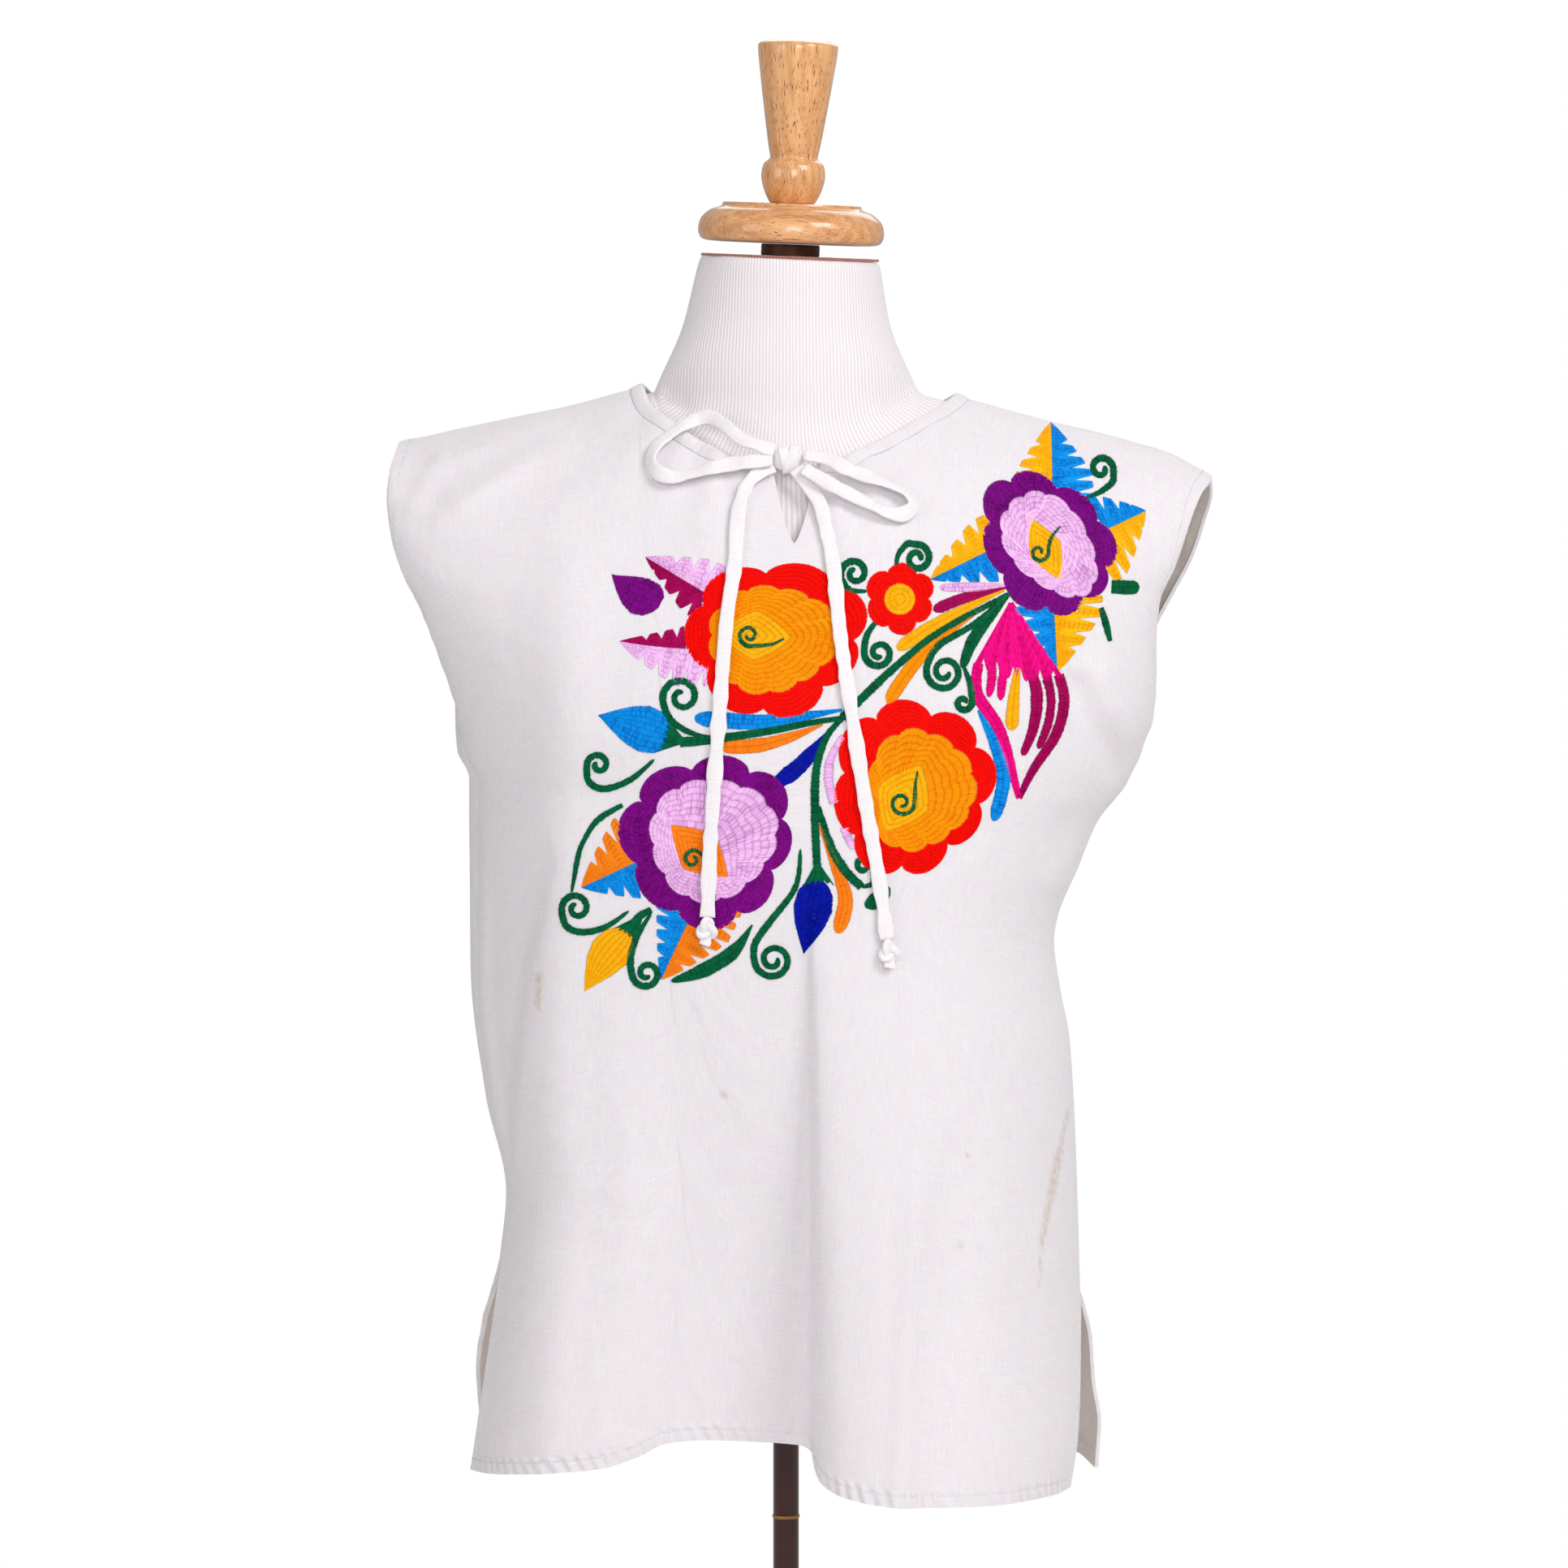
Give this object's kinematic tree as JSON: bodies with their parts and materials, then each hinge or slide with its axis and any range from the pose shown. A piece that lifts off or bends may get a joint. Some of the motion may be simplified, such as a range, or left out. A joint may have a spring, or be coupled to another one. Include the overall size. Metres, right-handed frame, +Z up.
{
  "type": "embroidered blouse on a dress form",
  "caption": "Sleeveless embroidered cotton blouse with a drawstring neck, worn on a dress form on a pole and round base.",
  "frame": {"origin": "on the floor under the pole, at the middle of the round base", "axes": "+Z up along the pole; the front of the blouse faces -Y; +X is the viewer's right"},
  "size_m": [0.5272, 0.36, 1.6154],
  "materials": {
    "cotton": "woven off-white cotton",
    "jersey": "ribbed off-white jersey",
    "cap_wood": "varnished honey-coloured wood",
    "dark_steel": "dark brown paint",
    "mahogany": "glossy dark mahogany lacquer",
    "collar": "bronzed ring"
  },
  "bodies": {
    "root": {"front_panel": "cotton", "back_panel": "cotton", "neck_casing": "cotton", "bow_knot": "cotton", "tie_loop_left": "cotton", "tie_loop_right": "cotton", "tie_tail_left": "cotton", "tie_tail_right": "cotton", "tail_knot_left": "cotton", "tail_knot_right": "cotton", "form_body": "jersey", "cap_stem": "dark_steel", "cap_disc": "cap_wood", "finial": "cap_wood", "pole_upper": "mahogany", "pole_collar": "collar", "pole_lower": "mahogany", "base": "mahogany"}
  },
  "joints": []
}
